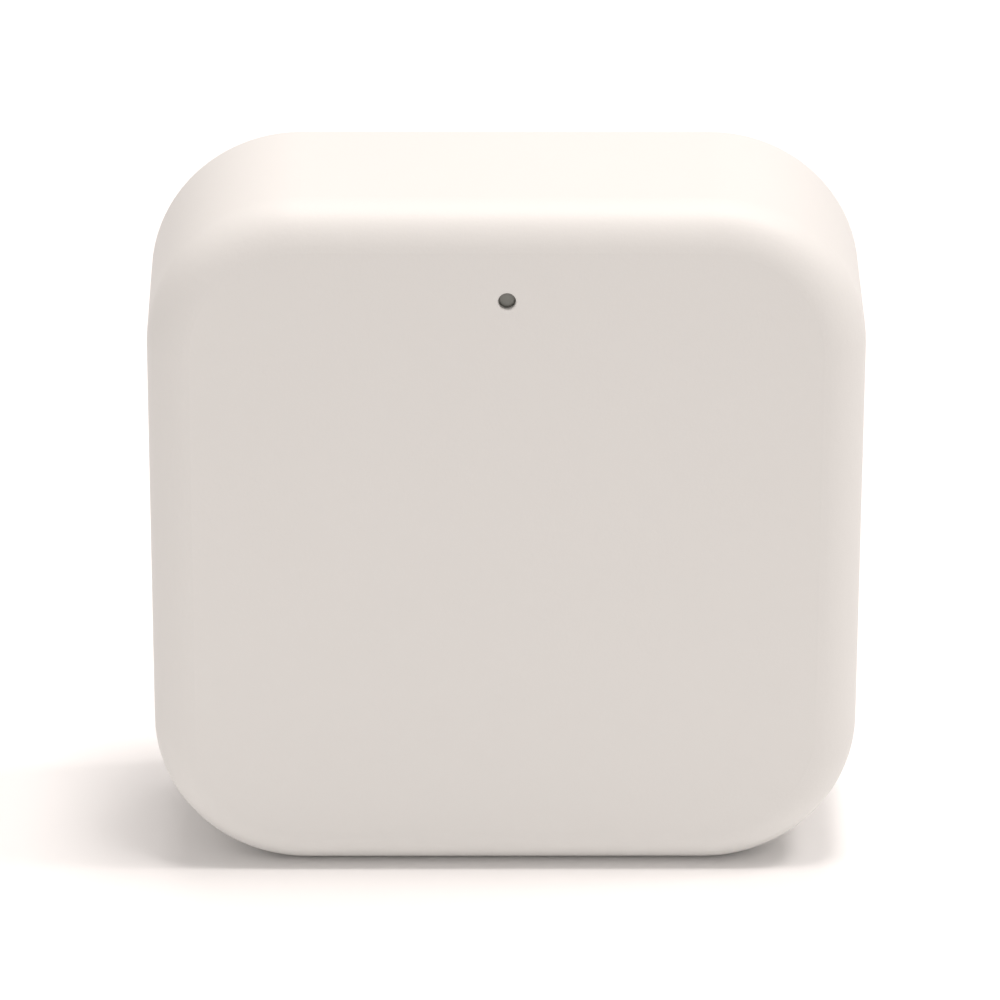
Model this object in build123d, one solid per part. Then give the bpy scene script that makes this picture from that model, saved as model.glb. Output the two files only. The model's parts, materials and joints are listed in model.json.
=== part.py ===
from build123d import *
from math import radians, tan
import os

os.makedirs("parts", exist_ok=True)

# A small square hub for a home's wireless devices. It stands on its flat lower wall.
# X runs across the face, Z runs up, and the face looks along -Y. Millimetres.
# The origin lies on the floor, under the middle of the width and of the depth.

# --- Sizes of the case -------------------------------------------------------------------
body_width = 70.0
body_height = 70.0
shell_depth = 22.5
cover_rise = 2.9          # the rear cover's panel stands this far behind the shell's rim
foot_proud = 0.6          # and the rubber feet stand this far behind the panel
corner_radius = 15.0
face_edge_radius = 4.2
rim_edge_radius = 0.9
draft_angle = 1.0         # degrees, on the two sides and the top; the lower wall is level
side_wall = 2.0
face_wall = 2.0
rim_lip = 1.1             # the thin lip of the shell round the cover's flange
inner_edge_radius = 1.0

flange_thickness = 1.5
panel_inset = 3.6         # from the side of the body to the side of the raised panel
panel_edge_radius = 1.4
cover_wall = 1.8
opening_bevel = 0.3       # round the openings in the cover
spigot_wall = 1.2
spigot_depth = 2.0

seam_gap = 0.10           # between the cover's flange and the shell's lip
slip_gap = 0.15           # between parts that drop into each other
thread_gap = 0.04         # radial, between a screw's thread and its pilot hole

# --- Screws and their bosses -------------------------------------------------------------
boss_inset = 10.5         # from the sides of the body to a corner boss
boss_diameter = 6.0
cover_post_diameter = 7.4
web_thickness = 1.2
web_reach = 9.0
cover_screw_diameter = 2.2
cover_screw_length = 8.0
cover_screw_head = 4.2
cover_screw_head_height = 1.6
screw_floor = 1.5         # plastic under a cover screw's head
screw_sink = 3.4          # from the cover's face to the underside of the head

board_post_diameter = 5.0
board_screw_diameter = 2.0
board_screw_length = 6.0
board_screw_head = 3.6
board_screw_head_height = 1.3
recess_width = 0.55       # cross recess in a screw's head
recess_reach = 0.6        # its length, as a share of the head
pilot_spare = 1.0         # a pilot hole is this much deeper than its screw

# --- Feet and label ----------------------------------------------------------------------
foot_diameter = 9.0
foot_recess = 0.6
foot_edge_radius = 0.4
label_width = 30.0
label_height = 19.0
label_thickness = 0.15
label_recess = 0.2
label_corner = 1.5

# --- Circuit board -----------------------------------------------------------------------
board_margin = 5.0        # from the side of the body to the board's edge
board_thickness = 1.2
board_corner = 10.0
board_post_edge = 4.0     # from the board's side edge to its screws
board_post_rise = 14.0    # its screws lie this far above and below its middle
board_notch_gap = 0.6     # round the corner bosses

# --- Status light ------------------------------------------------------------------------
light_drop = 9.45         # from the top of the body to the light
light_hole = 1.7
light_hole_bevel = 0.12   # round the hole, at the face
light_recess = 0.6        # the light pipe's tip lies this far inside the face
pipe_diameter = 3.2
pipe_sleeve_wall = 1.0
shroud_length = 3.0
led_width = 2.0
led_height = 1.25
led_base_thickness = 0.3
led_lens_width = 1.4
led_lens_thickness = 0.5
led_gap = 0.3             # between the LED's lens and the light pipe

# --- Power socket, a standard USB Type-C receptacle ----------------------------------------
socket_rise = 12.0        # from the floor to the socket's middle
socket_tall = 10.0        # from the board to the mouth
socket_inner_width = 8.34
socket_inner_height = 2.56
socket_fit_gap = 0.02     # round the plastic inside the metal shell
socket_wall = 0.30
socket_cavity = 6.2       # from the mouth to the plastic at the bottom
tongue_width = 6.69
tongue_thickness = 0.70
tongue_set_back = 1.0
contact_count = 12
contact_pitch = 0.5
contact_width = 0.25
contact_thickness = 0.05
contact_length = 3.6
contact_set_back = 0.4    # from the tongue's end to the contacts
socket_leg_width = 1.0
socket_leg_thickness = 0.3
plug_pocket_width = 13.2
plug_pocket_height = 7.4
plug_pocket_depth = 1.0

# --- Reset button and its switch ---------------------------------------------------------
button_across = 13.5      # from the socket's middle to the button's
button_diameter = 6.0
button_gap = 0.15
button_sunk = 0.3
button_lip = 0.9          # the flange reaches this far past the button's side
button_flange_thickness = 1.0
button_stem = 3.2
button_edge_radius = 0.4
guide_wall = 1.0
guide_depth = 2.2
button_rest_gap = 0.1     # the flange's clearance to the cover at rest
switch_size = 6.0
switch_base_tall = 3.5
switch_frame_thickness = 0.3
plunger_diameter = 3.4
plunger_out = 2.2         # how far the plunger stands out of the switch
plunger_in = 2.0          # and how far it reaches into it
plunger_gap = 0.15
dome_diameter = 4.4
dome_height = 0.5
dome_thickness = 0.08
dome_side_gap = 0.05
button_travel = 0.25
travel_spare = 0.05       # left between the plunger and the dome at the end of the travel
switch_corner = 0.4

# --- Wireless module ---------------------------------------------------------------------
module_length = 25.5
module_height = 18.0
module_thickness = 0.8
shield_length = 17.5
shield_height = 16.0
shield_tall = 2.0
shield_wall = 0.2
shield_corner = 0.8
shield_edge = 0.7         # from the module's end and side edges to the shield
trace_width = 0.5
trace_thickness = 0.05
trace_turns = 5
trace_pitch = 2.6
trace_reach = 4.6

processor_size = (5.0, 5.0, 0.9)
processor_across = -3.0   # from the shield's middle
memory_size = (4.0, 5.0, 0.8)
memory_place = (4.5, 2.0)
module_crystal_size = (2.5, 2.0, 0.6)
module_crystal_place = (4.5, -3.0)

# --- Other electronics: width, height, thickness -----------------------------------------
radio_x = -12.0           # the second radio stands on the board's front side
radio_chip_size = (7.0, 7.0, 0.9)
radio_crystal_size = (3.2, 2.5, 0.7)
radio_crystal_drop = 7.0
radio_antenna_size = (2.0, 7.0, 0.8)
radio_antenna_inset = 2.5

power_drop = 4.0          # the power parts stand this far below the board's middle
regulator_x = -2.0
regulator_size = (6.5, 3.6, 1.6)
lead_size = (0.7, 1.6, 0.3)
lead_tab_width = 3.0
lead_pitch = 2.3
lead_reach = 2.6
inductor_x = 7.0
inductor_size = (5.0, 5.0, 2.2)
can_x = -14.0
can_spacing = 8.0
can_diameter = 6.3
can_tall = 5.4
can_edge_radius = 0.5
can_base_size = (6.6, 6.6, 1.0)
fuse_x = -9.5
fuse_size = (1.6, 3.2, 0.9)
diode_x = -6.5
diode_rise = 6.0          # from the socket's middle
diode_size = (2.9, 1.6, 1.1)
capacitor_size = (0.8, 1.6, 0.8)
resistor_size = (0.8, 1.6, 0.45)
small_capacitor_size = (0.6, 1.0, 0.5)
small_resistor_size = (0.5, 1.0, 0.35)

# Rows of small parts: where the first one stands, the pitch along X and how many
radio_capacitor_row = (-16.5, 6.5, 3.0, 4)
radio_resistor_row = (-16.5, 10.5, 2.2, 5)
module_capacitor_row = (-6.5, -6.4, 2.2, 5)
module_resistor_row = (-6.5, 6.4, 2.2, 5)
power_capacitor_row = (-6.0, -11.5, 2.0, 5)
power_resistor_row = (5.0, 5.0, 2.0, 4)

# --- Places worked out from the sizes ----------------------------------------------------
overall_depth = shell_depth + cover_rise + foot_proud
front_y = -overall_depth / 2
rim_y = front_y + shell_depth
back_y = rim_y + cover_rise
feet_y = back_y + foot_proud
face_inner_y = front_y + face_wall
flange_y = rim_y - flange_thickness
cover_inner_y = back_y - cover_wall
middle_z = body_height / 2

boss_x = body_width / 2 - boss_inset
boss_places = [(x, z) for x in (-boss_x, boss_x) for z in (boss_inset, body_height - boss_inset)]
screw_seat_y = back_y - screw_sink
boss_top_y = screw_seat_y - screw_floor - seam_gap

mouth_y = back_y - plug_pocket_depth
board_rear_y = mouth_y - socket_tall
board_front_y = board_rear_y - board_thickness
board_width = body_width - 2 * board_margin
board_height = body_height - 2 * board_margin
board_post_x = board_width / 2 - board_post_edge
board_post_places = [
    (x, middle_z + side * board_post_rise) for x in (-board_post_x, board_post_x) for side in (-1, 1)
]
light_z = body_height - light_drop
led_face_y = board_front_y - led_base_thickness - led_lens_thickness
socket_outer_width = socket_inner_width + 2 * socket_wall
socket_outer_height = socket_inner_height + 2 * socket_wall
button_x = button_across
dome_gap = button_travel + travel_spare
switch_top_y = board_rear_y + switch_base_tall + switch_frame_thickness
plunger_top_y = switch_top_y + plunger_out
module_x = board_width / 2 - module_length / 2
radio_antenna_x = radio_antenna_inset - board_width / 2
can_rises = (can_spacing - power_drop, -power_drop)


# --- Drawing helpers ---------------------------------------------------------------------
def at(y):
    """A drawing plane across the depth: its x is X and its y is Z."""
    return Plane.XZ.offset(-y)


def slab(outline, y_low, y_high):
    """An outline drawn in X and Z, made solid from y_low to y_high."""
    return extrude(at(y_high) * outline, amount=y_high - y_low)


def disc(x, z, diameter, y_low, y_high):
    return slab(Pos(x, z) * Circle(diameter / 2), y_low, y_high)


def plate(x, z, width, height, y_low, y_high, corner=0.0):
    outline = RectangleRounded(width, height, corner) if corner else Rectangle(width, height)
    return slab(Pos(x, z) * outline, y_low, y_high)


def stadium(x, z, width, height, y_low, y_high):
    return slab(Pos(x, z) * SlotOverall(width, height), y_low, y_high)


def runs_deep(edge):
    """True for an edge that runs from front to back."""
    return abs(edge.tangent_at(0.5).Y) > 0.9


def group(pieces):
    """Separate solids that share one node."""
    return Compound([solid for piece in pieces for solid in piece.solids()])


def case_block(inset, y_low, y_high):
    """The drafted case between two depths, drawn in by inset. Its lower wall is level."""
    narrow, wide = [(rim_y - y) * tan(radians(draft_angle)) for y in (y_low, y_high)]
    half, low, high = body_width / 2 - inset, inset, body_height - inset
    front_half, rear_half = half - narrow, half - wide
    from_above = Polyline(
        (-front_half, y_low), (front_half, y_low), (rear_half, y_high), (-rear_half, y_high), close=True
    )
    from_side = Polyline(
        (y_low, low), (y_high, low), (y_high, high - wide), (y_low, high - narrow), close=True
    )
    block = extrude(make_face(from_above), amount=body_height)
    block &= extrude(Plane.YZ * make_face(from_side), amount=body_width / 2, both=True)
    return fillet(block.edges().filter_by(runs_deep), corner_radius - inset)


def flat_block(inset, y_low, y_high):
    """A straight block whose outline is the case's rim, drawn in by inset."""
    return plate(
        0, middle_z, body_width - 2 * inset, body_height - 2 * inset, y_low, y_high, corner_radius - inset
    )


def screw(x, z, seat_y, diameter, length, head, head_height):
    """A pan-head screw whose head looks back, with a cross recess."""
    cap = disc(x, z, head, seat_y, seat_y + head_height)
    cap = fillet(cap.edges().group_by(Axis.Y)[-1], head_height / 2)
    reach = recess_reach * head
    for width, height in ((reach, recess_width), (recess_width, reach)):
        cap -= plate(x, z, width, height, seat_y + head_height / 2, seat_y + head_height)
    return cap + disc(x, z, diameter, seat_y - length, seat_y)


# --- Case ----------------------------------------------------------------------------------
def front_shell():
    block = case_block(0, front_y, rim_y)
    block = fillet(block.edges().group_by(Axis.Y)[0], face_edge_radius)
    block = fillet(block.edges().group_by(Axis.Y)[-1], rim_edge_radius)
    hollow = case_block(side_wall, face_inner_y, rim_y)
    hollow = fillet(hollow.edges().group_by(Axis.Y)[0], inner_edge_radius)
    shell = block - hollow - flat_block(rim_lip, flange_y, rim_y)

    web_top_y = board_front_y - board_notch_gap
    core = case_block(side_wall / 2, front_y + face_wall / 2, web_top_y)
    core = fillet(core.edges().group_by(Axis.Y)[0], face_edge_radius - side_wall / 2)
    for x, z in boss_places:
        across = 1 if x > 0 else -1
        up = 1 if z > middle_z else -1
        shell += disc(x, z, boss_diameter, front_y + face_wall / 2, boss_top_y)
        flat_web = plate(
            x + across * web_reach / 2, z, web_reach, web_thickness, front_y + face_wall / 2, web_top_y
        )
        tall_web = plate(
            x, z + up * web_reach / 2, web_thickness, web_reach, front_y + face_wall / 2, web_top_y
        )
        shell += core & flat_web
        shell += core & tall_web
    for x, z in board_post_places:
        shell += disc(x, z, board_post_diameter, front_y + face_wall / 2, board_front_y)
    sleeve = pipe_diameter + 2 * slip_gap + 2 * pipe_sleeve_wall
    shell += disc(0, light_z, sleeve, front_y + face_wall / 2, board_front_y - shroud_length)

    for x, z in boss_places:
        pilot = cover_screw_diameter + 2 * thread_gap
        depth = cover_screw_length + pilot_spare
        shell -= disc(x, z, pilot, screw_seat_y - depth, boss_top_y)
    for x, z in board_post_places:
        pilot = board_screw_diameter + 2 * thread_gap
        depth = board_screw_length + pilot_spare
        shell -= disc(x, z, pilot, board_rear_y - depth, board_front_y)
    shell -= disc(0, light_z, pipe_diameter + 2 * slip_gap, face_inner_y, board_front_y)
    shell -= disc(0, light_z, light_hole, front_y, face_inner_y)
    rim = at(front_y) * Pos(0, light_z) * Circle(light_hole / 2 + light_hole_bevel)
    return shell - extrude(rim, amount=-light_hole_bevel, taper=45)


def bevelled(rim):
    """What the bevel round an opening takes off the cover. The rim is drawn on the cover's back."""
    return extrude(at(back_y) * rim, amount=opening_bevel, taper=45)


def rear_cover():
    cover = flat_block(rim_lip + seam_gap, flange_y, rim_y)
    panel = flat_block(panel_inset, flange_y, back_y)
    cover += fillet(panel.edges().group_by(Axis.Y)[-1], panel_edge_radius)
    cover -= flat_block(panel_inset + cover_wall, flange_y, cover_inner_y)
    spigot = side_wall + slip_gap
    cover += flat_block(spigot, flange_y - spigot_depth, flange_y) - flat_block(
        spigot + spigot_wall, flange_y - spigot_depth, flange_y
    )
    for x, z in boss_places:
        cover += disc(x, z, cover_post_diameter, boss_top_y + seam_gap, back_y - foot_recess)
        cover -= disc(x, z, foot_diameter + 2 * slip_gap, back_y - foot_recess, back_y)
        cover -= disc(x, z, cover_screw_head + 2 * slip_gap, screw_seat_y, back_y)
        cover -= disc(x, z, cover_screw_diameter + 2 * slip_gap, boss_top_y, screw_seat_y)

    guide = button_diameter + 2 * button_lip + 2 * button_gap
    cover += disc(button_x, socket_rise, guide + 2 * guide_wall, cover_inner_y - guide_depth, cover_inner_y)
    cover -= disc(button_x, socket_rise, guide, cover_inner_y - guide_depth, cover_inner_y)
    button_hole = button_diameter + 2 * button_gap
    cover -= disc(button_x, socket_rise, button_hole, cover_inner_y, back_y)
    cover -= bevelled(Pos(button_x, socket_rise) * Circle(button_hole / 2 + opening_bevel))

    cover -= stadium(0, socket_rise, plug_pocket_width, plug_pocket_height, mouth_y, back_y)
    pocket_rim = SlotOverall(plug_pocket_width + 2 * opening_bevel, plug_pocket_height + 2 * opening_bevel)
    cover -= bevelled(Pos(0, socket_rise) * pocket_rim)
    cover -= stadium(
        0,
        socket_rise,
        socket_outer_width + 2 * slip_gap,
        socket_outer_height + 2 * slip_gap,
        cover_inner_y,
        mouth_y,
    )
    cover -= plate(
        0,
        middle_z,
        label_width + 2 * slip_gap,
        label_height + 2 * slip_gap,
        back_y - label_recess,
        back_y,
        label_corner,
    )
    return cover


def cover_screws():
    return group(
        screw(
            x,
            z,
            screw_seat_y,
            cover_screw_diameter,
            cover_screw_length,
            cover_screw_head,
            cover_screw_head_height,
        )
        for x, z in boss_places
    )


def rubber_feet():
    feet = []
    for x, z in boss_places:
        foot = disc(x, z, foot_diameter, back_y - foot_recess, feet_y)
        feet.append(fillet(foot.edges().group_by(Axis.Y)[-1], foot_edge_radius))
    return group(feet)


def rating_label():
    low_y = back_y - label_recess
    return plate(0, middle_z, label_width, label_height, low_y, low_y + label_thickness, label_corner)


# --- Status light ----------------------------------------------------------------------------
def light_pipe():
    tip = disc(0, light_z, light_hole - 2 * thread_gap, front_y + light_recess, face_inner_y)
    rod = disc(0, light_z, pipe_diameter, face_inner_y, led_face_y - led_gap)
    return tip + rod


def led_shroud():
    inner = pipe_diameter + 2 * slip_gap
    ring = disc(0, light_z, inner + 2 * pipe_sleeve_wall, board_front_y - shroud_length, board_front_y)
    return ring - disc(0, light_z, inner, board_front_y - shroud_length, board_front_y)


def status_led_base():
    return plate(0, light_z, led_width, led_height, board_front_y - led_base_thickness, board_front_y)


def status_led_lens():
    high_y = board_front_y - led_base_thickness
    return plate(0, light_z, led_lens_width, led_height, led_face_y, high_y)


# --- Circuit board ---------------------------------------------------------------------------
socket_leg_places = [
    (side * (socket_outer_width - socket_leg_thickness) / 2, socket_rise) for side in (-1, 1)
]


def main_board():
    board = plate(0, middle_z, board_width, board_height, board_front_y, board_rear_y, board_corner)
    for x, z in boss_places:
        board -= disc(x, z, boss_diameter + 2 * board_notch_gap, board_front_y, board_rear_y)
    for x, z in board_post_places:
        board -= disc(x, z, board_screw_diameter + 2 * slip_gap, board_front_y, board_rear_y)
    for x, z in socket_leg_places:
        board -= plate(
            x,
            z,
            socket_leg_thickness + 2 * slip_gap,
            socket_leg_width + 2 * slip_gap,
            board_front_y,
            board_rear_y,
        )
    return board


def board_screws():
    return group(
        screw(
            x,
            z,
            board_rear_y,
            board_screw_diameter,
            board_screw_length,
            board_screw_head,
            board_screw_head_height,
        )
        for x, z in board_post_places
    )


# --- Power socket ----------------------------------------------------------------------------
def socket_shell():
    shell = stadium(0, socket_rise, socket_outer_width, socket_outer_height, board_rear_y, mouth_y)
    shell -= stadium(0, socket_rise, socket_inner_width, socket_inner_height, board_rear_y, mouth_y)
    for x, z in socket_leg_places:
        shell += plate(x, z, socket_leg_thickness, socket_leg_width, board_front_y, board_rear_y)
    return shell


def socket_plastic():
    base_y = mouth_y - socket_cavity
    width = socket_inner_width - 2 * socket_fit_gap
    height = socket_inner_height - 2 * socket_fit_gap
    plastic = stadium(0, socket_rise, width, height, board_rear_y, base_y)
    tongue_y = mouth_y - tongue_set_back
    corner = tongue_thickness / 3
    tongue = plate(0, socket_rise, tongue_width, tongue_thickness, base_y, tongue_y, corner)
    return plastic + tongue


def socket_contacts():
    high_y = mouth_y - tongue_set_back - contact_set_back
    contacts = []
    for side in (-1, 1):
        z = socket_rise + side * (tongue_thickness + contact_thickness) / 2
        for index in range(contact_count):
            x = (index - (contact_count - 1) / 2) * contact_pitch
            contacts.append(
                plate(x, z, contact_width, contact_thickness, high_y - contact_length, high_y)
            )
    return group(contacts)


# --- Reset button and its switch ---------------------------------------------------------------
def reset_button():
    flange_top_y = cover_inner_y - button_rest_gap
    face = disc(button_x, socket_rise, button_diameter, flange_top_y, back_y - button_sunk)
    face = fillet(face.edges().group_by(Axis.Y)[-1], button_edge_radius)
    flange_low_y = flange_top_y - button_flange_thickness
    flange_width = button_diameter + 2 * button_lip
    flange = disc(button_x, socket_rise, flange_width, flange_low_y, flange_top_y)
    stem = disc(button_x, socket_rise, button_stem, plunger_top_y, flange_low_y)
    return face + flange + stem


def switch_plunger():
    return disc(button_x, socket_rise, plunger_diameter, switch_top_y - plunger_in, plunger_top_y)


def switch_base():
    top_y = switch_top_y - switch_frame_thickness
    base = plate(button_x, socket_rise, switch_size, switch_size, board_rear_y, top_y, switch_corner)
    bore = plunger_diameter + 2 * plunger_gap
    chamber_top_y = switch_top_y - plunger_in + dome_gap
    chamber_low_y = switch_top_y - plunger_in - dome_gap - dome_height
    base -= disc(button_x, socket_rise, bore, chamber_low_y, top_y)
    chamber = dome_diameter + 2 * dome_side_gap
    return base - disc(button_x, socket_rise, chamber, chamber_low_y, chamber_top_y)


def switch_frame():
    low_y = switch_top_y - switch_frame_thickness
    frame = plate(button_x, socket_rise, switch_size, switch_size, low_y, switch_top_y, switch_corner)
    return frame - disc(button_x, socket_rise, plunger_diameter + 2 * plunger_gap, low_y, switch_top_y)


def switch_dome():
    """The snap dome under the plunger, a thin cap cut from a ball."""
    top_y = switch_top_y - plunger_in - dome_gap
    radius = (dome_diameter**2 / 4 + dome_height**2) / (2 * dome_height)
    centre = Pos(button_x, top_y - radius, socket_rise)
    ball = centre * (Sphere(radius) - Sphere(radius - dome_thickness))
    return ball & disc(button_x, socket_rise, 2 * radius, top_y - dome_height, top_y)


# --- Wireless module ---------------------------------------------------------------------------
module_face_y = board_front_y - module_thickness
shield_x = module_x - module_length / 2 + shield_edge + shield_length / 2
trace_start_x = shield_x + shield_length / 2 + shield_edge


def chip(x, rise, width, height, thickness):
    """A component on the board's front side. Its rise is counted from the board's middle."""
    return plate(x, middle_z + rise, width, height, board_front_y - thickness, board_front_y)


def rear_chip(x, rise, width, height, thickness):
    """A component on the board's rear side."""
    return plate(x, middle_z + rise, width, height, board_rear_y, board_rear_y + thickness)


def module_chip(x, rise, width, height, thickness):
    """A component on the wireless module, under its shield."""
    low_y = module_face_y - thickness
    return plate(shield_x + x, middle_z + rise, width, height, low_y, module_face_y)


def module_board():
    return chip(module_x, 0, module_length, module_height, module_thickness)


def module_shield():
    low_y = module_face_y - shield_tall
    can = plate(shield_x, middle_z, shield_length, shield_height, low_y, module_face_y, shield_corner)
    return can - plate(
        shield_x,
        middle_z,
        shield_length - 2 * shield_wall,
        shield_height - 2 * shield_wall,
        low_y + shield_wall,
        module_face_y,
        shield_corner - shield_wall,
    )


def trace_antenna():
    """A flat copper line that snakes along the module's bare end."""
    low_y = module_face_y - trace_thickness
    first_z = middle_z - trace_pitch * trace_turns / 2
    trace = None
    for turn in range(trace_turns + 1):
        z = first_z + turn * trace_pitch
        bar = plate(trace_start_x + trace_reach / 2, z, trace_reach, trace_width, low_y, module_face_y)
        trace = bar if trace is None else trace + bar
        if turn < trace_turns:
            end = trace_reach - trace_width / 2 if turn % 2 == 0 else trace_width / 2
            link_height = trace_pitch + trace_width
            trace += plate(
                trace_start_x + end, z + trace_pitch / 2, trace_width, link_height, low_y, module_face_y
            )
    return trace


# --- Other electronics -------------------------------------------------------------------------
def row(make, places, size):
    """Small parts in a line. Heights are counted from the middle of the board."""
    first_x, rise, pitch, count = places
    return [make(first_x + index * pitch, rise, *size) for index in range(count)]


def regulator_leads():
    width, height, thickness = lead_size
    leads = [
        rear_chip(regulator_x + step * lead_pitch, -power_drop - lead_reach, width, height, thickness)
        for step in (-1, 0, 1)
    ]
    leads.append(rear_chip(regulator_x, lead_reach - power_drop, lead_tab_width, height, thickness))
    return group(leads)


def capacitor_cans():
    low_y = board_rear_y + can_base_size[2]
    cans = []
    for rise in can_rises:
        can = disc(can_x, middle_z + rise, can_diameter, low_y, board_rear_y + can_tall)
        cans.append(fillet(can.edges().group_by(Axis.Y)[-1], can_edge_radius))
    return group(cans)


def capacitor_bases():
    return group(rear_chip(can_x, rise, *can_base_size) for rise in can_rises)


def ceramic_capacitors():
    pieces = row(chip, radio_capacitor_row, capacitor_size)
    pieces += row(module_chip, module_capacitor_row, small_capacitor_size)
    pieces += row(rear_chip, power_capacitor_row, capacitor_size)
    return group(pieces)


def chip_resistors():
    pieces = row(chip, radio_resistor_row, resistor_size)
    pieces += row(module_chip, module_resistor_row, small_resistor_size)
    pieces += row(rear_chip, power_resistor_row, resistor_size)
    return group(pieces)


nodes = {
    "front_shell": front_shell(),
    "rear_cover": rear_cover(),
    "cover_screws": cover_screws(),
    "rubber_feet": rubber_feet(),
    "rating_label": rating_label(),
    "light_pipe": light_pipe(),
    "led_shroud": led_shroud(),
    "status_led_base": status_led_base(),
    "status_led_lens": status_led_lens(),
    "main_board": main_board(),
    "board_screws": board_screws(),
    "socket_shell": socket_shell(),
    "socket_plastic": socket_plastic(),
    "socket_contacts": socket_contacts(),
    "reset_button": reset_button(),
    "switch_plunger": switch_plunger(),
    "switch_base": switch_base(),
    "switch_frame": switch_frame(),
    "switch_dome": switch_dome(),
    "module_board": module_board(),
    "module_shield": module_shield(),
    "module_processor": module_chip(processor_across, 0, *processor_size),
    "module_memory": module_chip(*memory_place, *memory_size),
    "module_crystal": module_chip(*module_crystal_place, *module_crystal_size),
    "trace_antenna": trace_antenna(),
    "radio_chip": chip(radio_x, 0, *radio_chip_size),
    "radio_crystal": chip(radio_x, -radio_crystal_drop, *radio_crystal_size),
    "radio_antenna": chip(radio_antenna_x, 0, *radio_antenna_size),
    "regulator_body": rear_chip(regulator_x, -power_drop, *regulator_size),
    "regulator_leads": regulator_leads(),
    "power_inductor": rear_chip(inductor_x, -power_drop, *inductor_size),
    "capacitor_cans": capacitor_cans(),
    "capacitor_bases": capacitor_bases(),
    "ceramic_capacitors": ceramic_capacitors(),
    "chip_resistors": chip_resistors(),
    "input_fuse": rear_chip(fuse_x, socket_rise - middle_z, *fuse_size),
    "surge_diode": rear_chip(diode_x, socket_rise + diode_rise - middle_z, *diode_size),
}

for name, shape in nodes.items():
    export_step(shape, f"parts/{name}.step")
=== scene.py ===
# %% [markdown]
# # A small wireless hub on a white table
# The design arrives as a finished frame: every plastic, metal and circuit part is already there, at
# its real size and in its real place. This notebook gives the parts their finishes, adds the small
# shapes that a mould leaves on them, and then lights and frames the hub as a shop would.

# %% Load the frame
import bmesh
import bpy
import json
from math import cos, pi, radians, sin
from mathutils import Matrix, Vector


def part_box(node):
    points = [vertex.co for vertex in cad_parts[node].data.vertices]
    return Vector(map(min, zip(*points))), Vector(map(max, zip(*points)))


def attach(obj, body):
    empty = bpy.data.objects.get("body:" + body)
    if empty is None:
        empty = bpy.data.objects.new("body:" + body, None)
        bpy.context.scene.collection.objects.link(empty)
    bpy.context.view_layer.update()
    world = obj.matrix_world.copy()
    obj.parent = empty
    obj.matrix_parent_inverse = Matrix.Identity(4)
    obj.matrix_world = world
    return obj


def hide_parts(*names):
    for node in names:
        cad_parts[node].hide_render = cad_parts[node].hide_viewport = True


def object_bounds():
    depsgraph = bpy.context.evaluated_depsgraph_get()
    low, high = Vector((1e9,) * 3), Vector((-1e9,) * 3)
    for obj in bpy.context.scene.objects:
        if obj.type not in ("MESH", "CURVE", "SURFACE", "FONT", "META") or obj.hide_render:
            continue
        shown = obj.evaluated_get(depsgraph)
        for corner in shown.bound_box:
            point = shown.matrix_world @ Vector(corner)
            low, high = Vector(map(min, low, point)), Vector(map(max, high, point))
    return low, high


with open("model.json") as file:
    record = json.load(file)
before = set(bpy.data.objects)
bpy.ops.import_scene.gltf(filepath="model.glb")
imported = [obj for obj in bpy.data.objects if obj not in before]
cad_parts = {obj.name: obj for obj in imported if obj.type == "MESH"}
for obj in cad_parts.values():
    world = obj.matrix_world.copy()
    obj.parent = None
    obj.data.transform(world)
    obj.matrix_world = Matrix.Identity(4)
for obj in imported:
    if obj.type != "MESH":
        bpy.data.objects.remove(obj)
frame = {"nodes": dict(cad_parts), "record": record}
design_low, design_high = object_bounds()
MM = 0.001

# %% [markdown]
# ## Writing shader maths as plain arithmetic
# A pattern such as moulded grain is a little sum on numbers that change over the surface. Wiring
# Math nodes one by one hides that sum. Here a small class wraps a socket, so that `1 - mask * 0.2`
# adds the two Math nodes by itself. Every other node comes from one method of the finish.


# %% A socket that can be added and multiplied
class Wire:
    def __init__(self, finish, socket):
        self.finish = finish
        self.socket = socket

    def maths(self, operation, first, second):
        settings = {"operation": operation}
        return self.finish.node("Math", settings, {0: first, 1: second})[0]

    def __add__(self, other):
        return self.maths("ADD", self, other)

    def __sub__(self, other):
        return self.maths("SUBTRACT", self, other)

    def __rsub__(self, other):
        return self.maths("SUBTRACT", other, self)

    def __mul__(self, other):
        return self.maths("MULTIPLY", self, other)

    __radd__ = __add__
    __rmul__ = __mul__

    def absolute(self):
        return self.maths("ABSOLUTE", self, 0.0)

    def least(self, other):
        return self.maths("MINIMUM", self, other)

    def above(self, level):
        return self.maths("GREATER_THAN", self, level)

    def between(self, low, high):
        return self.above(low) * (1 - self.above(high))


# %% [markdown]
# ## A finish is one material
# All the parts are dielectric plastics or metals, so one principled shader serves each of them. The
# finish starts with the numbers that are the same all over, and its methods add what varies: noise
# for the grain and the faint unevenness of a moulding, and a bump that feeds the normal. All the
# patterns read Object coordinates. These are metres on parts at real size, so a grain of 0.3 mm is
# written as 0.3 mm.


# %% The finish
finishes = {}


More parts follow.
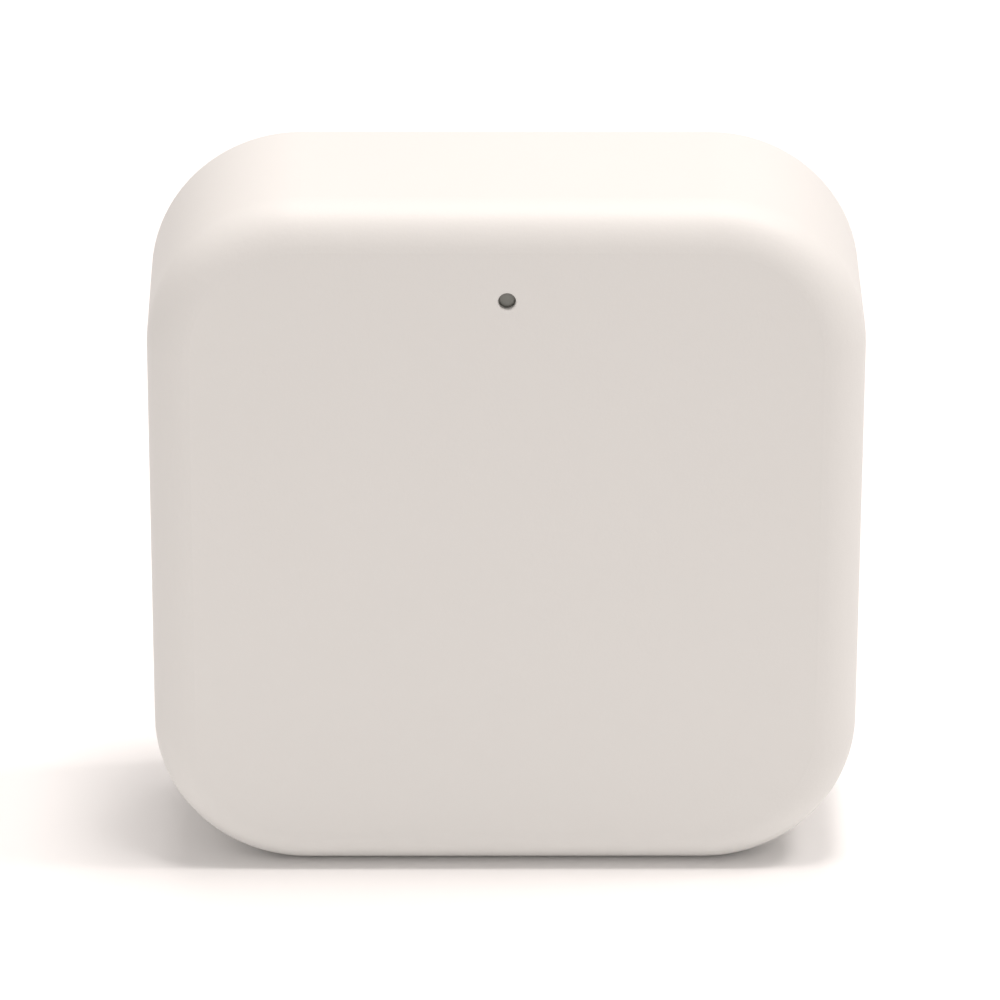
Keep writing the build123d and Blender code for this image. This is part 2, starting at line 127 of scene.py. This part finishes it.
class Finish:
    def __init__(self, name, **constants):
        self.material = bpy.data.materials.new(name)
        finishes[name] = self.material
        self.material.use_nodes = True
        self.tree = self.material.node_tree
        self.shader = self.tree.nodes["Principled BSDF"]
        for socket, value in constants.items():
            self.shader.inputs[socket.replace("_", " ")].default_value = value

    def node(self, kind, settings=None, sockets=None):
        """Adds a node, sets it up, then fills its sockets. Returns its outputs, by number or name."""
        made = self.tree.nodes.new("ShaderNode" + kind)
        for name, value in (settings or {}).items():
            setattr(made, name, value)
        for name, value in (sockets or {}).items():
            self.fill(made.inputs[name], value)
        return {
            key: Wire(self, out)
            for index, out in enumerate(made.outputs)
            for key in (index, out.name)
            if out.enabled
        }

    def fill(self, socket, value):
        if isinstance(value, Wire):
            self.tree.links.new(value.socket, socket)
        else:
            socket.default_value = value

    def feed(self, socket, value):
        """Links a varying value to the shader."""
        self.fill(self.shader.inputs[socket], value)

    def place(self):
        return self.node("TexCoord")["Object"]

    def noise(self, size, detail=2.0, roughness=0.5, stretch=(1, 1, 1)):
        """Noise from 0 to 1 whose features are about `size` metres across."""
        spots = self.node(
            "Mapping", {"vector_type": "POINT"}, {"Vector": self.place(), "Scale": stretch}
        )
        sockets = {"Vector": spots[0], "Scale": 1 / size, "Detail": detail, "Roughness": roughness}
        return self.node("TexNoise", None, sockets)[0]

    def mix(self, share, first, second):
        """Two colours, by share."""
        settings = {"data_type": "RGBA"}
        return self.node("Mix", settings, {0: share, 6: first, 7: second})[2]

    def bump(self, height, distance, strength=1.0):
        """Lets the surface rise by height times distance, in metres."""
        sockets = {"Height": height, "Distance": distance, "Strength": strength}
        self.feed("Normal", self.node("Bump", None, sockets)[0])


def opaque(colour, level=1.0):
    """A colour as red, green, blue and alpha, dimmed or lifted by level."""
    return (*(channel * level for channel in colour), 1.0)


print("finish and socket maths ready")

# %% [markdown]
# ## Moulded plastic
# The case is white plastic from a spark-eroded mould. Up close it has a very fine orange-peel
# grain, its gloss is slightly uneven where the melt cooled at different speeds, and its colour
# drifts by about one part in a hundred. A bitmap could hold all that, but noise at three scales
# does it at any zoom and needs no unwrapping.


# %% Plastic finishes
def moulded(name, colour, roughness, grain=0.35 * MM, relief=0.012 * MM, drift=0.012, **constants):
    """Plastic, resin or fired ceramic: drifting colour, uneven gloss and a fine peel."""
    finish = Finish(name, **constants)
    cloud = finish.noise(22 * MM, 3.0)
    fleck = finish.noise(1.6 * MM, 4.0, 0.6)
    share = cloud * 0.7 + fleck * 0.3
    light, dark = opaque(colour, 1 + drift), opaque(colour, 1 - drift)
    finish.feed("Base Color", finish.mix(share, dark, light))
    finish.feed("Roughness", cloud * 0.06 + fleck * 0.05 + (roughness - 0.055))
    finish.bump(finish.noise(grain, 3.0, 0.55), relief)
    return finish.material


WHITE = (0.724, 0.719, 0.70)
moulded("case_white", WHITE, 0.52, Coat_Weight=0.05, Coat_Roughness=0.4)
moulded("cover_white", WHITE, 0.58, 0.5 * MM, 0.03 * MM)
moulded("button_grey", (0.30, 0.295, 0.285), 0.4, 0.3 * MM, 0.01 * MM)
moulded("socket_black", (0.02, 0.02, 0.021), 0.35, 0.2 * MM, 0.006 * MM)
moulded("switch_black", (0.03, 0.03, 0.03), 0.45)
print("plastics:", len(bpy.data.materials))

# %% [markdown]
# ## Fired ceramic and moulded epoxy
# Chips are black epoxy filled with glass, and capacitors and fuses are fired ceramic. Both show
# the same thing under a lens, a speckle much finer than the part itself, so they share the recipe
# of the plastics with a smaller grain and a stronger drift.

# %% Component bodies
moulded("led_ceramic", (0.72, 0.72, 0.66), 0.5, 0.15 * MM, 0.006 * MM, 0.03)
moulded("led_lens_clear", (0.78, 0.66, 0.22), 0.2, 0.3 * MM, 0.004 * MM, 0.05, Coat_Weight=1.0)
moulded("fuse_ceramic", (0.55, 0.53, 0.44), 0.6, 0.12 * MM, 0.01 * MM, 0.06)
moulded("antenna_ceramic", (0.58, 0.61, 0.56), 0.5, 0.12 * MM, 0.01 * MM, 0.04)
moulded("capacitor_ceramic", (0.27, 0.17, 0.09), 0.55, 0.1 * MM, 0.01 * MM, 0.12)
moulded("resistor_black", (0.018, 0.018, 0.02), 0.35, 0.1 * MM, 0.005 * MM, 0.1)
moulded("chip_black", (0.022, 0.022, 0.025), 0.6, 0.12 * MM, 0.012 * MM, 0.15)
moulded("inductor_ferrite", (0.05, 0.05, 0.055), 0.7, 0.2 * MM, 0.03 * MM, 0.2)
print("materials so far:", len(bpy.data.materials))

# %% [markdown]
# ## Rubber
# The feet, and the foam collar round the light, are matt all over and a little dusty. Their relief
# is coarser than the plastic's, and a low, wide highlight comes from a high roughness alone.


# %% Rubber finishes
def rubber(name, colour, grain):
    finish = Finish(name, IOR=1.52)
    bloom = finish.noise(3.5 * MM, 4.0, 0.6)
    finish.feed("Base Color", finish.mix(bloom, opaque(colour, 0.9), opaque(colour, 1.15)))
    finish.feed("Roughness", bloom * 0.12 + 0.76)
    finish.bump(finish.noise(grain, 4.0, 0.65), 0.05 * MM)
    return finish.material


rubber("foot_rubber", (0.13, 0.13, 0.13), 0.25 * MM)
rubber("shroud_black", (0.012, 0.012, 0.012), 0.4 * MM)
print("materials so far:", len(bpy.data.materials))

# %% [markdown]
# ## Metal
# Stamped or plated metal keeps the marks of its rolling. The noise is stretched along X until it
# turns into short hairlines, and these lift the roughness and the bump together, so a highlight
# breaks up along them. Metallic is 1 everywhere, so it stays a plain number on the shader.


# %% Metal finishes
def metal(name, colour, roughness, relief=0.004 * MM):
    finish = Finish(name, Metallic=1.0)
    hairline = finish.noise(0.2 * MM, 3.0, 0.6, stretch=(0.06, 1.0, 1.0))
    stain = finish.noise(5 * MM, 3.0)
    finish.feed("Base Color", finish.mix(stain, opaque(colour, 0.93), opaque(colour, 1.04)))
    finish.feed("Roughness", hairline * 0.16 + stain * 0.1 + (roughness - 0.13))
    finish.bump(hairline, relief)
    return finish.material


metal("screw_steel", (0.56, 0.57, 0.6), 0.36)
metal("socket_steel", (0.66, 0.66, 0.67), 0.24)
metal("contact_gold", (0.83, 0.6, 0.22), 0.25, 0.002 * MM)
metal("switch_steel", (0.6, 0.6, 0.6), 0.34)
metal("shield_nickel", (0.62, 0.6, 0.56), 0.3)
metal("crystal_steel", (0.55, 0.55, 0.53), 0.28)
metal("copper_trace", (0.74, 0.36, 0.18), 0.3, 0.002 * MM)
metal("lead_tin", (0.66, 0.66, 0.65), 0.35)
metal("can_aluminium", (0.7, 0.7, 0.71), 0.3)
print("materials so far:", len(bpy.data.materials))

# %% [markdown]
# ## Solder mask
# A circuit board is lacquered over its copper, so the tracks show as lines of a slightly lighter
# green with a soft raised edge. Bricks laid without regard to any real circuit give right-angled
# lines like these: the mortar is the track. The board stands upright, so the pattern is first
# turned to lie in X and Z.


# %% Board finishes
def solder_mask(name, colour, pitch):
    finish = Finish(name, Coat_Weight=0.6, Coat_Roughness=0.15)
    sockets = {"Vector": finish.place(), "Rotation": (-pi / 2, 0, 0)}
    upright = finish.node("Mapping", {"vector_type": "POINT"}, sockets)[0]
    courses = {"offset": 0.37, "offset_frequency": 3, "squash": 0.6, "squash_frequency": 2}
    sizes = {"Vector": upright, "Scale": 1 / pitch, "Mortar Size": 0.05, "Mortar Smooth": 0.3}
    track = finish.node("TexBrick", courses, sizes)["Fac"]
    weave = finish.noise(0.8 * MM, 2.0)
    green = finish.mix(weave, opaque(colour, 0.85), opaque(colour, 1.1))
    finish.feed("Base Color", finish.mix(track * 0.8, green, opaque(colour, 2.2)))
    finish.feed("Roughness", weave * 0.1 + 0.32)
    finish.bump(track + weave * 0.1, 0.03 * MM)
    return finish.material


solder_mask("board_green", (0.012, 0.09, 0.035), 2.4 * MM)
solder_mask("module_blue", (0.008, 0.02, 0.085), 1.3 * MM)
print("materials so far:", len(bpy.data.materials))

# %% [markdown]
# ## The rating label
# The real label is a matt silver-white film. Here it stays blank but for one fine printed border
# and two rules that divide it into fields. Each line is the band where a distance lies between two
# limits, and the distances are plain arithmetic on the object's own X and Z.

# %% Label finish
label_low, label_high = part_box("rating_label")
label_middle = (label_low + label_high) / 2
BORDER_OUTSIDE = 1.1 * MM  # from the label's edge
BORDER_INSIDE = 1.35 * MM
RULE_WIDTH = 0.2 * MM
RULE_HEIGHTS = (-2.6 * MM, 3.4 * MM)  # the lower side of each rule, from the label's middle
INK = (0.12, 0.12, 0.125)


def label_film():
    finish = Finish("label_film", Coat_Weight=0.1, Coat_Roughness=0.5)
    place = finish.node("SeparateXYZ", None, {0: finish.place()})
    half = (label_high - label_low) / 2
    rise = place["Z"] - label_middle.z
    side_gap = half.x - (place["X"] - label_middle.x).absolute()
    edge = side_gap.least(half.z - rise.absolute())
    border = edge.between(BORDER_OUTSIDE, BORDER_INSIDE)
    lower_rule, upper_rule = (rise.between(low, low + RULE_WIDTH) for low in RULE_HEIGHTS)
    ink = border + (lower_rule + upper_rule) * edge.above(BORDER_INSIDE)
    fibre = finish.noise(0.5 * MM, 4.0, 0.6)
    film = finish.mix(fibre, opaque((0.62, 0.62, 0.61)), opaque((0.68, 0.68, 0.67)))
    finish.feed("Base Color", finish.mix(ink, film, opaque(INK)))
    finish.feed("Roughness", fibre * 0.1 + 0.5)
    finish.bump(fibre, 0.01 * MM)
    return finish.material


label_film()
print("label middle (mm):", [round(value / MM, 2) for value in label_middle])

# %% [markdown]
# ## Smoked light pipe
# The status light reaches the face through a rod of smoked clear plastic. Its end looks grey-green
# and slightly cloudy. Full glass would show only the dark inside of the case, so the rod is an
# opaque grey with a clear coat, which has the same look from every side. Near its rim the end is
# painted darker, as painted shade for the shade that the hole's wall throws on it: the share of
# the dark tone grows with the fourth power of the distance from the axis.

# %% Light pipe finish
pipe_low, pipe_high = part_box("light_pipe")
pipe_middle = (pipe_low + pipe_high) / 2
TIP_RADIUS = 0.81 * MM


def smoked(name, colour, painted_rim_shade):
    finish = Finish(name, Coat_Weight=0.6)
    place = finish.node("SeparateXYZ", None, {0: finish.place()})
    across = (place["X"] - pipe_middle.x) * (1 / TIP_RADIUS)
    rise = (place["Z"] - pipe_middle.z) * (1 / TIP_RADIUS)
    # Painted shade: this mask darkens the rod's end towards its rim, standing for the shade inside
    # the hole.
    rim_shade_spread = (across * across + rise * rise).least(1)
    haze = finish.noise(0.5 * MM, 3.0)
    core = finish.mix(haze, opaque(colour, 0.94), opaque(colour, 1.06))
    finish.feed("Base Color", finish.mix(rim_shade_spread * rim_shade_spread, core, opaque(painted_rim_shade)))
    finish.feed("Roughness", haze * 0.1 + 0.25)
    finish.bump(haze, 0.005 * MM)
    return finish.material


# The last colour is the painted shade at the rim of the rod's end.
smoked("light_pipe_clear", (0.16, 0.165, 0.148), (0.085, 0.082, 0.072))
print("materials in all:", len(bpy.data.materials))

# %% [markdown]
# ## Finishes onto the design's own parts
# Most parts keep the shape they were designed with. Each brings a material slot named after its
# finish, so the finishes were given the same names and simply take the slots over.

# %% Dress the nodes
finish_of = {part["node"]: part["material_slot"] for part in frame["record"]["subparts"]}

for name, node in frame["nodes"].items():
    for material_slot in node.material_slots:
        material_slot.material = finishes[finish_of[name]]
print("nodes dressed:", len(frame["nodes"]))

# %% [markdown]
# ## Turned parts by spinning
# Feet, the light pipe and the reset button are all round. Each is one profile, a chain of radius
# and depth, spun a full turn about an axis that runs from front to back. The profile starts and
# ends on the axis, so the spin closes both ends, and the doubles there are merged.


# %% Spin a profile
TURN_SEGMENTS = 64
SHARP_ANGLE = radians(38)  # flatter edges than this are shaded smooth
MERGE_DISTANCE = 0.0005 * MM


def turned(name, profiles, body, stands_for):
    """Profiles spun about Y, as a list of (x, z, [(radius, y), ...])."""
    form = bmesh.new()
    for x, z, profile in profiles:
        chain = [form.verts.new((x + radius, y, z)) for radius, y in profile]
        edges = [form.edges.new(pair) for pair in zip(chain, chain[1:])]
        bmesh.ops.spin(
            form,
            geom=chain + edges,
            cent=(x, 0, z),
            axis=(0, 1, 0),
            angle=2 * pi,
            steps=TURN_SEGMENTS,
            use_merge=True,
        )
    bmesh.ops.remove_doubles(form, verts=form.verts, dist=MERGE_DISTANCE)
    bmesh.ops.recalc_face_normals(form, faces=form.faces)
    return finished_piece(name, form, body, stands_for)


def finished_piece(name, form, body, stands_for):
    """Turns a bmesh into a piece that stands for a node and takes that node's finish."""
    mesh = bpy.data.meshes.new(name)
    form.to_mesh(mesh)
    form.free()
    mesh.shade_smooth()
    mesh.set_sharp_from_angle(angle=SHARP_ANGLE)
    piece = bpy.data.objects.new(name, mesh)
    bpy.context.scene.collection.objects.link(piece)
    mesh.materials.append(finishes[finish_of[stands_for]])
    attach(piece, body)
    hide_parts(stands_for)
    print(name, "faces:", len(mesh.polygons))
    return piece


def rounded(radius, y, size, turn, steps=6):
    """A corner whose two sides meet at (radius, y), rounded by size. turn is the direction in which
    the profile leaves the corner's outer side: 1 towards +Y, -1 towards -Y."""
    angles = [pi / 2 * step / steps for step in range(steps + 1)]
    return [
        (radius - size + size * cos(angle), y - turn * (size - size * sin(angle))) for angle in angles
    ]


print("turning helpers ready")

# %% [markdown]
# ## Rubber feet
# Each foot is a rubber disc pressed into the cover. A real one has a rounded outer edge and a
# shallow dish that grips a table. The profile says both in one chain.

# %% Rubber feet
foot_low, foot_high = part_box("rubber_feet")
FOOT_RADIUS = 4.5 * MM
FOOT_EDGE = 0.4 * MM
FOOT_DISH_RIM = FOOT_RADIUS * 0.78
FOOT_DISH_FLOOR = FOOT_RADIUS * 0.72
FOOT_DISH_DEPTH = 0.15 * MM
foot_profile = [
    (0, foot_low.y),
    (FOOT_RADIUS, foot_low.y),
    *rounded(FOOT_RADIUS, foot_high.y, FOOT_EDGE, 1),
    (FOOT_DISH_RIM, foot_high.y),
    (FOOT_DISH_FLOOR, foot_high.y - FOOT_DISH_DEPTH),
    (0, foot_high.y - FOOT_DISH_DEPTH),
]
foot_places = [
    (x, z)
    for x in (foot_low.x + FOOT_RADIUS, foot_high.x - FOOT_RADIUS)
    for z in (foot_low.z + FOOT_RADIUS, foot_high.z - FOOT_RADIUS)
]
foot_pads = turned("foot_pads", [(x, z, foot_profile) for x, z in foot_places], "case", "rubber_feet")

# %% [markdown]
# ## Light pipe
# The rod has a wide part that is held inside the case and a thin tip that reaches into the hole in
# the face. Moulding leaves the tip slightly domed, which gives the light its small highlight.

# %% Light pipe
PIPE_RADIUS = (pipe_high.x - pipe_low.x) / 2
PIPE_BACK_EDGE = 0.15 * MM
SHOULDER_EDGE = 0.1 * MM
TIP_LENGTH = 1.4 * MM
DOME = 0.05 * MM
DOME_STEPS = 8
shoulder_y = pipe_low.y + TIP_LENGTH
dome_angles = [pi / 2 * step / DOME_STEPS for step in range(DOME_STEPS + 1)]
pipe_profile = [
    (0, pipe_high.y),
    *rounded(PIPE_RADIUS, pipe_high.y, PIPE_BACK_EDGE, 1)[::-1],
    *rounded(PIPE_RADIUS, shoulder_y, SHOULDER_EDGE, -1),
    (TIP_RADIUS, shoulder_y),
    *[(TIP_RADIUS * cos(angle), pipe_low.y + DOME - DOME * sin(angle)) for angle in dome_angles],
]
light_rod = turned("light_rod", [(pipe_middle.x, pipe_middle.z, pipe_profile)], "case", "light_pipe")

# %% [markdown]
# ## Reset button
# The button is a cap with a flange that keeps it in the cover and a stem that reaches the switch.
# Its top is dished so that a fingertip finds it, and it rides on the body that the press moves.

# %% Reset button
cap_low, cap_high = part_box("reset_button")
cap_middle = (cap_low + cap_high) / 2
FLANGE_RADIUS = (cap_high.x - cap_low.x) / 2
CAP_RADIUS = 3.0 * MM
CAP_EDGE = 0.4 * MM
CAP_DISH_RADIUS = CAP_RADIUS * 0.78
CAP_DISH_DEPTH = 0.22 * MM
STEM_RADIUS = 1.6 * MM
flange_low_y = cap_high.y - 2.6 * MM
flange_high_y = cap_high.y - 1.6 * MM
dish = [
    (CAP_DISH_RADIUS * cos(angle), cap_high.y - CAP_DISH_DEPTH * sin(angle)) for angle in dome_angles
]
cap_profile = [
    (0, cap_low.y),
    (STEM_RADIUS, cap_low.y),
    (STEM_RADIUS, flange_low_y),
    (FLANGE_RADIUS, flange_low_y),
    (FLANGE_RADIUS, flange_high_y),
    (CAP_RADIUS, flange_high_y),
    *rounded(CAP_RADIUS, cap_high.y, CAP_EDGE, 1),
    *dish,
]
reset_cap = turned("reset_cap", [(cap_middle.x, cap_middle.z, cap_profile)], "button", "reset_button")

# %% [markdown]
# ## Table and light
# The hub stands on a seamless white table in a bright, slightly warm room. Three soft boxes hang
# high above it. The first two stand over its right side, so the top wall is the brightest, the
# right edge is lighter than the left and a short soft shadow lies at the lower left. The third
# hangs behind and fills the shadow on the table. The face is lit mostly by the room and by the
# table in front of it, so it stays one even grey. A weak card stands low in front, where it
# reaches under the rounded bottom edge.

# %% Table
TABLE_SIZE = 6.0
TABLE_DARK, TABLE_LIGHT = (0.93, 0.93, 0.93), (0.95, 0.95, 0.95)
TABLE_CLOUD = 0.4  # metres across
table_form = bmesh.new()
bmesh.ops.create_grid(table_form, x_segments=1, y_segments=1, size=TABLE_SIZE / 2)
table_mesh = bpy.data.meshes.new("table_top")
table_form.to_mesh(table_mesh)
table_form.free()
table_top = bpy.data.objects.new("table_top", table_mesh)
bpy.context.scene.collection.objects.link(table_top)


def table_paint():
    finish = Finish("table_paint")
    cloud = finish.noise(TABLE_CLOUD, 2.0)
    finish.feed("Base Color", finish.mix(cloud, opaque(TABLE_DARK), opaque(TABLE_LIGHT)))
    finish.feed("Roughness", cloud * 0.1 + 0.6)
    return finish.material


table_mesh.materials.append(table_paint())
print("table:", TABLE_SIZE, "m across")

# %% Light
middle = (design_low + design_high) / 2
WARM = (1.0, 0.936, 0.903)
ROOM_STRENGTH = 0.59


def soft_box(name, place, size, power):
    """A square area light that looks at the middle of the hub: size in metres, power in watts."""
    lamp = bpy.data.lights.new(name, "AREA")
    lamp.shape = "SQUARE"
    lamp.size = size
    lamp.energy = power
    lamp.color = WARM
    holder = bpy.data.objects.new(name, lamp)
    bpy.context.scene.collection.objects.link(holder)
    holder.location = place
    holder.rotation_euler = (middle - Vector(place)).to_track_quat("-Z", "Y").to_euler()


soft_box("overhead_box", (0.10, -0.06, 0.99), 0.2, 3.4)
soft_box("right_box", (0.5, 0.0, 0.87), 0.2, 2.5)
soft_box("rear_box", (0.0, 0.26, 0.97), 0.5, 2.5)
soft_box("front_card", (0.0, -0.95, 0.1), 0.5, 0.6)

room = bpy.data.worlds.new("white_room")
bpy.context.scene.world = room
room.use_nodes = True
room_light = room.node_tree.nodes["Background"].inputs
room_light["Color"].default_value = (*WARM, 1.0)
room_light["Strength"].default_value = ROOM_STRENGTH
bpy.context.scene.view_settings.view_transform = "Standard"
print("lights:", [item.name for item in bpy.data.lights])

# %% [markdown]
# ## Camera
# The hub is seen almost straight on, from a little above, through a long lens. A long lens keeps
# the sides nearly parallel. The camera looks at a point close to the hub's middle, so it is placed
# by a distance, a rise and a small turn from there, and leans by a fraction of a degree.

# %% Camera
CAMERA_DISTANCE = 598.7 * MM
CAMERA_RISE = radians(23.11)
CAMERA_TURN = radians(-0.48)
CAMERA_LEAN = radians(0.18)
CAMERA_LENS = 217.49  # focal length in millimetres, on a sensor 36 wide
AIM_LEFT, AIM_DOWN = 0.51 * MM, 0.54 * MM  # from the hub's middle
aim = Vector((middle.x - AIM_LEFT, middle.y, middle.z - AIM_DOWN))
back = Vector(
    (
        sin(CAMERA_TURN) * cos(CAMERA_RISE),
        -cos(CAMERA_TURN) * cos(CAMERA_RISE),
        sin(CAMERA_RISE),
    )
)
lens = bpy.data.cameras.new("studio_camera")
lens.lens = CAMERA_LENS
lens.sensor_width = 36.0
lens.clip_start = 0.01
lens.clip_end = 20.0
studio_camera = bpy.data.objects.new("studio_camera", lens)
bpy.context.scene.collection.objects.link(studio_camera)
studio_camera.matrix_world = (
    Matrix.Translation(aim + back * CAMERA_DISTANCE)
    @ Matrix.Rotation(CAMERA_TURN, 4, "Z")
    @ Matrix.Rotation(pi / 2 - CAMERA_RISE, 4, "X")
    @ Matrix.Rotation(CAMERA_LEAN, 4, "Z")
)
bpy.context.scene.camera = studio_camera
print("camera at (mm):", [round(value / MM, 1) for value in studio_camera.location])

# %% [markdown]
# ## Size
# The looks must not change the size. The design's own box was measured when the frame was loaded.

# %% Design box
print("design box measured at load")
